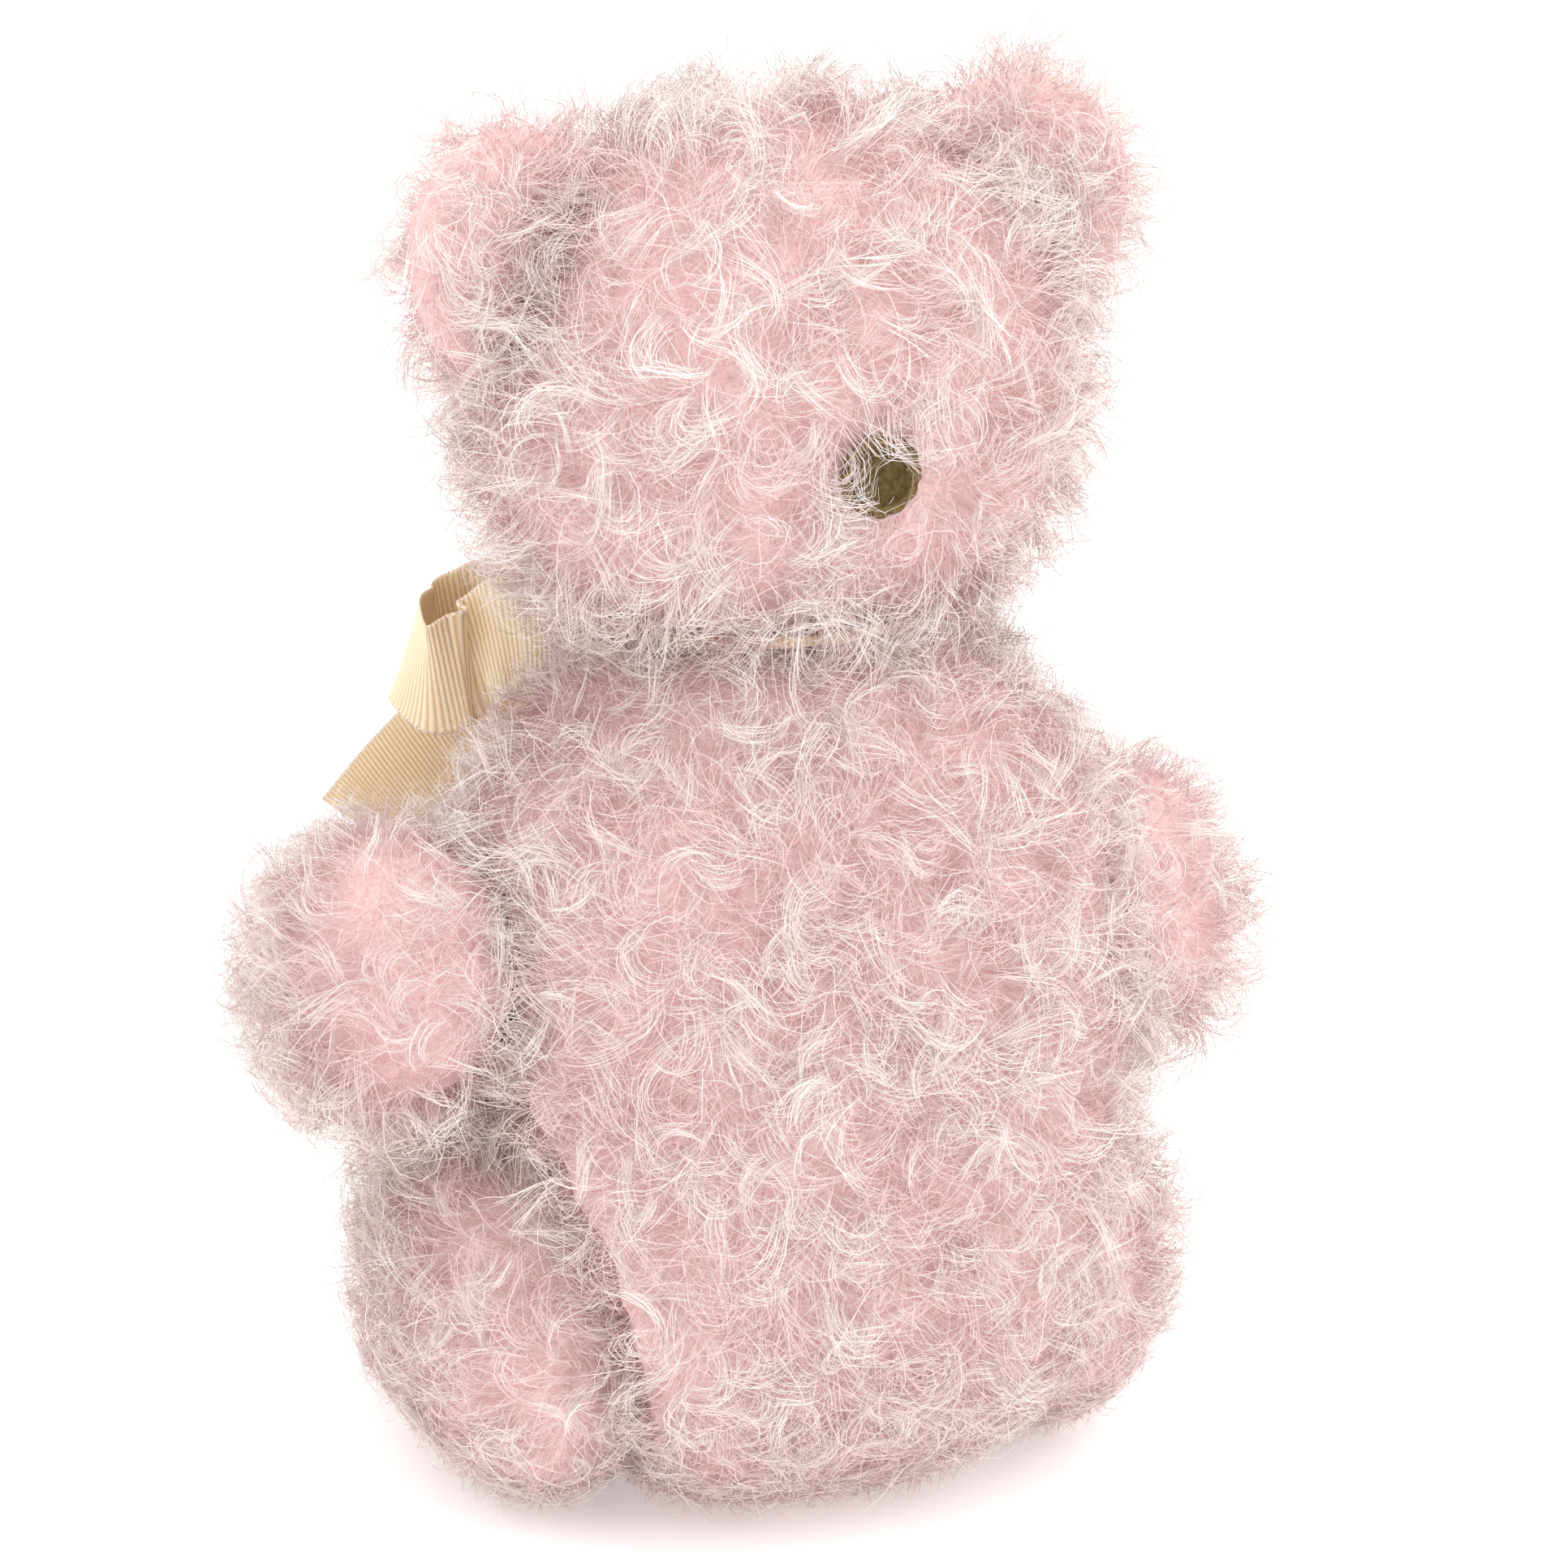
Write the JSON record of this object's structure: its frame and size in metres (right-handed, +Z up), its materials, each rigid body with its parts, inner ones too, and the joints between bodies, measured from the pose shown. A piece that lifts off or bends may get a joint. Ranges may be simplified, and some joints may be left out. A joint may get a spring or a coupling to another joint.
{
  "type": "jointed teddy bear",
  "caption": "Seated mohair teddy bear with disc joints at the neck, shoulders and hips, a ribbon bow and a metal button at the back of the head.",
  "frame": {"origin": "middle of the flat under the body, on the surface the bear sits on", "axes": "+Z up along the seated body, -Y the way the bear faces, +X the bear's own left"},
  "size_m": [0.1896, 0.1646, 0.2803],
  "materials": {
    "mohair": "long wavy pile",
    "stuffing": "loose fibre",
    "fibreboard": "matte",
    "steel": "satin",
    "felt": "short felt",
    "yarn": "stitched cotton",
    "eye_glass": "polished",
    "ribbon": "ribbed sheen",
    "brass": "antiqued"
  },
  "bodies": {
    "torso": {"body_cover": "mohair", "body_stuffing": "stuffing", "neck_body_disc": "fibreboard", "neck_body_washer": "steel", "neck_ribbon": "ribbon", "bow_knot": "ribbon", "left_bow_loop": "ribbon", "right_bow_loop": "ribbon", "left_bow_tail": "ribbon", "right_bow_tail": "ribbon", "left_shoulder_body_disc": "fibreboard", "left_shoulder_body_washer": "steel", "left_hip_body_disc": "fibreboard", "left_hip_body_washer": "steel", "right_shoulder_body_disc": "fibreboard", "right_shoulder_body_washer": "steel", "right_hip_body_disc": "fibreboard", "right_hip_body_washer": "steel"},
    "head": {"head_cover": "mohair", "head_stuffing": "stuffing", "left_ear": "mohair", "right_ear": "mohair", "left_eye": "eye_glass", "right_eye": "eye_glass", "left_eye_shank": "steel", "right_eye_shank": "steel", "nose": "yarn", "mouth_upright": "yarn", "mouth_smile": "yarn", "button": "brass", "button_washer": "steel", "neck_head_disc": "fibreboard", "neck_head_washer": "steel", "neck_pin": "steel"},
    "left_arm": {"left_arm_cover": "mohair", "left_arm_stuffing": "stuffing", "left_paw_pad": "felt", "left_shoulder_arm_disc": "fibreboard", "left_shoulder_arm_washer": "steel", "left_shoulder_pin": "steel"},
    "right_arm": {"right_arm_cover": "mohair", "right_arm_stuffing": "stuffing", "right_paw_pad": "felt", "right_shoulder_arm_disc": "fibreboard", "right_shoulder_arm_washer": "steel", "right_shoulder_pin": "steel"},
    "left_leg": {"left_leg_cover": "mohair", "left_leg_stuffing": "stuffing", "left_foot_pad": "felt", "left_hip_leg_disc": "fibreboard", "left_hip_leg_washer": "steel", "left_hip_pin": "steel"},
    "right_leg": {"right_leg_cover": "mohair", "right_leg_stuffing": "stuffing", "right_foot_pad": "felt", "right_hip_leg_disc": "fibreboard", "right_hip_leg_washer": "steel", "right_hip_pin": "steel"}
  },
  "joints": [
    {"name": "neck_turn", "type": "hinge", "parent": "torso", "child": "head", "pos_m": [0, 0, 0.178], "axis": [0.0698, 0, 0.9976], "continuous": true},
    {"name": "left_shoulder_turn", "type": "hinge", "parent": "torso", "child": "left_arm", "pos_m": [0.0618, -0.002, 0.112], "axis": [1, 0, 0], "range_deg": [-215, 0]},
    {"name": "right_shoulder_turn", "type": "hinge", "parent": "torso", "child": "right_arm", "pos_m": [-0.0618, -0.002, 0.112], "axis": [1, 0, 0], "range_deg": [-215, 0]},
    {"name": "left_hip_turn", "type": "hinge", "parent": "torso", "child": "left_leg", "pos_m": [0.0362, -0.005, 0.0385], "axis": [1, 0, 0], "range_deg": [-10, 100]},
    {"name": "right_hip_turn", "type": "hinge", "parent": "torso", "child": "right_leg", "pos_m": [-0.0362, -0.005, 0.0385], "axis": [1, 0, 0], "range_deg": [-10, 100]}
  ]
}
